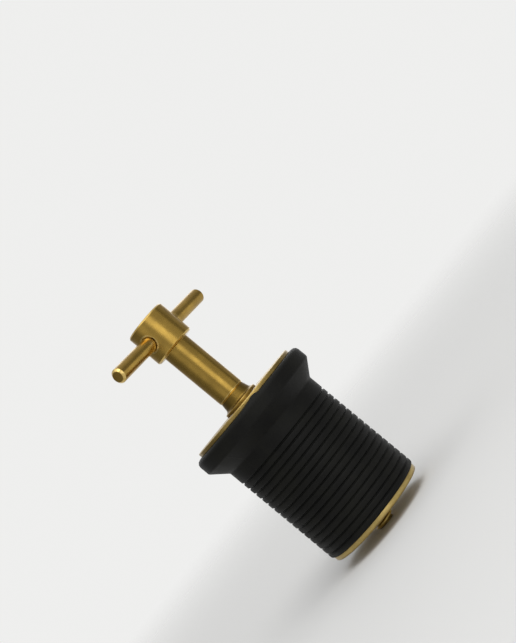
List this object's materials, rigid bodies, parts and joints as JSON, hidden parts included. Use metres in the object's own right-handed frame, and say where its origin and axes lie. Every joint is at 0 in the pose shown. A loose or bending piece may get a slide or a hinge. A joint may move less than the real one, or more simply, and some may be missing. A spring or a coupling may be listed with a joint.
{
  "type": "boat drain plug",
  "caption": "Twist-to-tighten drain plug: brass T-handle, washers and nut plate squeeze a flanged, ribbed rubber body so that it swells in its tube.",
  "frame": {"origin": "on the spindle's axis at the plug's seat, where the flange's cone meets the ribbed body", "axes": "+Z along the spindle, from the rubber towards the handle; X along the cross pin"},
  "size_m": [0.035, 0.0304, 0.0623],
  "materials": {
    "turned_brass": "satin, as turned, lightly tarnished",
    "washer_brass": "blanked sheet, lightly tumbled",
    "rubber": "moulded, dull"
  },
  "bodies": {
    "plug": {"rubber_plug": "rubber", "top_washer": "washer_brass", "collar_washer": "turned_brass"},
    "handle": {"spindle": "turned_brass", "cross_pin": "turned_brass"},
    "nut": {"nut_plate": "washer_brass"}
  },
  "joints": [
    {"name": "handle_turn", "type": "hinge", "parent": "plug", "child": "handle", "pos_m": [0, 0, 0], "axis": [0, 0, -1], "range_deg": [0, 1350]},
    {"name": "nut_rise", "type": "slide", "parent": "plug", "child": "nut", "axis": [0, 0, 1], "range_m": [0, 0.004], "deforming": ["rubber_plug"]}
  ],
  "couplings": [
    {"joint": "nut_rise", "follows": "handle_turn", "m_per_rad": 0.00016844}
  ]
}
